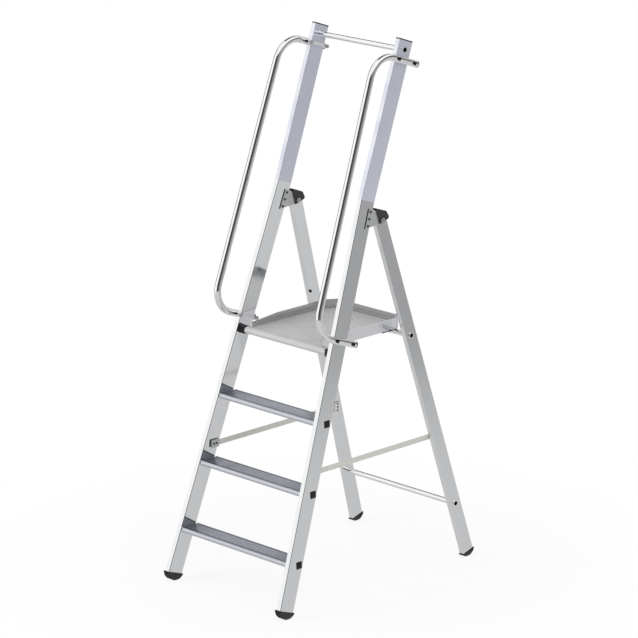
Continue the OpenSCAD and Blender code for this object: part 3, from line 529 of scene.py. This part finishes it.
# Every other line of points is a groove between two warp cords, and every other weft lifts a cord higher
warp_cords = 10
cells = 2 * warp_cords
weft_pitch = 0.0016
weave_depth = 0.00016
lowest_crown = 0.55
for side in ("left", "right"):
    low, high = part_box(f"{side}_strap")
    steps = int((high.y - low.y) / weft_pitch)
    weave = bmesh.new()
    uv = weave.loops.layers.uv.new("weave")
    corner_at = {}
    for outward in (-1, 1):
        for step in range(steps + 1):
            for cell in range(cells + 1):
                crown = (cell % 2) * (lowest_crown + (1 - lowest_crown) * ((step + cell // 2) % 2))
                hollow = weave_depth * (1 - crown)
                x = high.x - hollow if outward > 0 else low.x + hollow
                y = low.y + (high.y - low.y) * step / steps
                z = low.z + (high.z - low.z) * cell / cells
                corner_at[outward, step, cell] = weave.verts.new((x, y, z))
    outlines = []
    for step in range(steps):
        for cell in range(cells):
            ring = [(step, cell), (step + 1, cell), (step + 1, cell + 1), (step, cell + 1)]
            outlines.append([(1, *corner) for corner in ring])
            outlines.append([(-1, *corner) for corner in reversed(ring)])
        for cell in (0, cells):
            rim = [(-1, step, cell), (-1, step + 1, cell), (1, step + 1, cell), (1, step, cell)]
            outlines.append(rim if cell == 0 else rim[::-1])
    for cell in range(cells):
        for step in (0, steps):
            rim = [(-1, step, cell), (1, step, cell), (1, step, cell + 1), (-1, step, cell + 1)]
            outlines.append(rim if step == 0 else rim[::-1])
    for outline in outlines:
        face = weave.faces.new([corner_at[corner] for corner in outline])
        face.smooth = True
        for loop in face.loops:
            loop[uv].uv = (loop.vert.co.y - low.y, loop.vert.co.z - low.z)
    strap = put_mesh(f"{side}_webbing", weave, webbing)
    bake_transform(strap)
    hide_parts(f"{side}_strap")


# The studio: a plain pale floor that goes white away from the step, and an even white surround to see it by.
# Polished metal mirrors a bright front left, a dark front right, a grey right and back, and a dark back left
# with one window, under a white ceiling with one gap and over a grey floor.
def seen_and_mirrored(shade):
    """1 where the camera looks at a surface, and 1 where polished metal mirrors it."""
    return [shade.node("ShaderNodeLightPath", {}, {}, out=ray) for ray in (0, 3)]


floor_half = 40.0
floor_z = -0.0004
floor_corners = [(x * floor_half, y * floor_half, floor_z) for x, y in ((-1, -1), (1, -1), (1, 1), (-1, 1))]
floor_data = bpy.data.meshes.new("floor")
floor_data.from_pydata(floor_corners, [], [(0, 1, 2, 3)])
floor = put_in_scene("floor", floor_data)
floor_material, floor_shade, floor_shader = start_finish("floor")
floor_shader.inputs["Base Color"].default_value = (0.9, 0.9, 0.9, 1)
floor_shader.inputs["Roughness"].default_value = 0.9
floor_shader.inputs["Specular IOR Level"].default_value = 0.0
seen, mirrored = seen_and_mirrored(floor_shade)
floor_x, floor_y = place_on_part(floor_shade)[:2]
floor_place = floor_shade.node("ShaderNodeCombineXYZ", {}, {0: floor_x, 1: floor_y})
floor_away = floor_shade.node("ShaderNodeVectorMath", {"operation": "LENGTH"}, {0: floor_place}, out=1)
white_glow = floor_shade.node("ShaderNodeEmission", {}, {"Color": (1, 1, 1, 1), "Strength": 1.0})
grey_glow = floor_shade.node("ShaderNodeEmission", {}, {"Color": (1, 1, 1, 1), "Strength": 0.6})
clear = floor_shade.node("ShaderNodeBsdfTransparent", {}, {})
lit_floor = Shade(floor_shade.tree, floor_shader.outputs[0])
whiteness = seen * (0.86 + 0.14 * ramped(floor_away, 0.4, 1.6))
far_off = ramped(floor_away, 1.0, 5.0)
to_eye = floor_shade.node("ShaderNodeMixShader", {}, {0: whiteness, 1: lit_floor, 2: white_glow})
to_metal = floor_shade.node("ShaderNodeMixShader", {}, {0: far_off, 1: grey_glow, 2: clear})
floor_mix = floor_shade.node("ShaderNodeMixShader", {}, {0: mirrored, 1: to_eye, 2: to_metal})
feed(floor_mix, floor_shade.tree.nodes["Material Output"], "Surface")
floor.data.materials.append(floor_material)

world = bpy.data.worlds.new("studio")
world.use_nodes = True
bpy.context.scene.world = world
sky = Shade(world.node_tree)
sky_seen, sky_mirrored = seen_and_mirrored(sky)
sky_x, sky_y, sky_z = split(sky.node("ShaderNodeTexCoord", {}, {}, out=0))
heading = 0.5 + sky_y.maths("ARCTAN2", sky_x) * (0.5 / math.pi)


def round_the_studio(greys):
    """Greys at headings in degrees, run together all the way round. 0 is right, 90 back and -90 front."""
    stops = [((degrees + 180) / 360, (grey, grey, grey, 1)) for degrees, grey in greys]
    return sky.node("ShaderNodeValToRGB", {"stops": stops}, {"Fac": heading})


horizon = round_the_studio((
    (-180, 0.1), (-170, 0.15), (-158, 1.0), (-84, 1.0), (-77, 0.03), (-45, 0.05), (-25, 0.1), (5, 0.26),
    (25, 0.34), (45, 0.38), (75, 0.55), (106, 0.55), (118, 0.1), (180, 0.1)))
ceiling = round_the_studio(((-180, 0.95), (100, 0.95), (112, 0.08), (160, 0.08), (172, 0.95)))
window_width = round_the_studio(((108, 0.0), (120, 0.78), (150, 0.78), (160, 0.0)))
screen_width = round_the_studio(((10, 0.0), (25, 0.75), (70, 0.75), (85, 0.0)))
window = window_width * ramped(sky_z, 0.1, 0.15) * ramped(sky_z, 0.43, 0.37)
screen = screen_width * ramped(sky_z, 0.03, 0.1)
overhead = ramped(sky_z, 0.375, 0.64)
underneath = ramped(sky_z, -0.2, -0.285)
far_under = ramped(sky_z, -0.5, -0.74)
walls = horizon * (1 - screen) + window
room = walls * (1 - overhead) + ceiling * overhead
sky_grey = room * (1 - underneath) + underneath * (0.62 - 0.27 * far_under)
sky_strength = sky_seen + sky_mirrored * sky_grey + (1 - sky_seen - sky_mirrored) * 0.72
feed(sky_strength, world.node_tree.nodes["Background"], "Color")

lamp_aim = Vector((0, 0, 0.9))
for lamp_name, lamp_at, lamp_size, lamp_power in (
        ("front_lamp", (-3.0, -5.0, 4.5), 3.0, 140), ("side_lamp", (5.0, -1.5, 4.0), 2.5, 50)):
    lamp_data = bpy.data.lights.new(lamp_name, "AREA")
    lamp_data.size = lamp_size
    lamp_data.energy = lamp_power
    lamp = put_in_scene(lamp_name, lamp_data)
    lamp.location = lamp_at
    lamp.rotation_euler = (lamp_aim - Vector(lamp_at)).to_track_quat("-Z", "Y").to_euler()
    lamp.visible_glossy = False


# The camera stands 12 m off, in front and to the right of the step, and looks down at it from above its top.
# Its place and its long lens come from the vanishing lines of the treads, stiles and legs.
yaw, pitch, roll = math.radians(45.065), math.radians(-15.757), math.radians(-0.0925)
camera_place = (8.6232, -8.6122, 4.3896)
image_width = 638
focal_pixels = 3502.3
ahead = Vector((-math.sin(yaw) * math.cos(pitch), math.cos(yaw) * math.cos(pitch), math.sin(pitch)))
level = Vector((math.cos(yaw), math.sin(yaw), 0))
upward = level.cross(ahead)
to_right = math.cos(roll) * level + math.sin(roll) * upward
to_top = math.cos(roll) * upward - math.sin(roll) * level
camera_data = bpy.data.cameras.new("camera")
camera_data.sensor_width = 36.0
camera_data.lens = camera_data.sensor_width * focal_pixels / image_width
camera_data.clip_end = 200.0
camera = put_in_scene("camera", camera_data)
camera_turn = Matrix((to_right, to_top, -ahead)).transposed().to_4x4()
camera.matrix_world = Matrix.Translation(camera_place) @ camera_turn
bpy.context.scene.camera = camera
bpy.context.scene.view_settings.view_transform = "Standard"

bpy.context.view_layer.update()
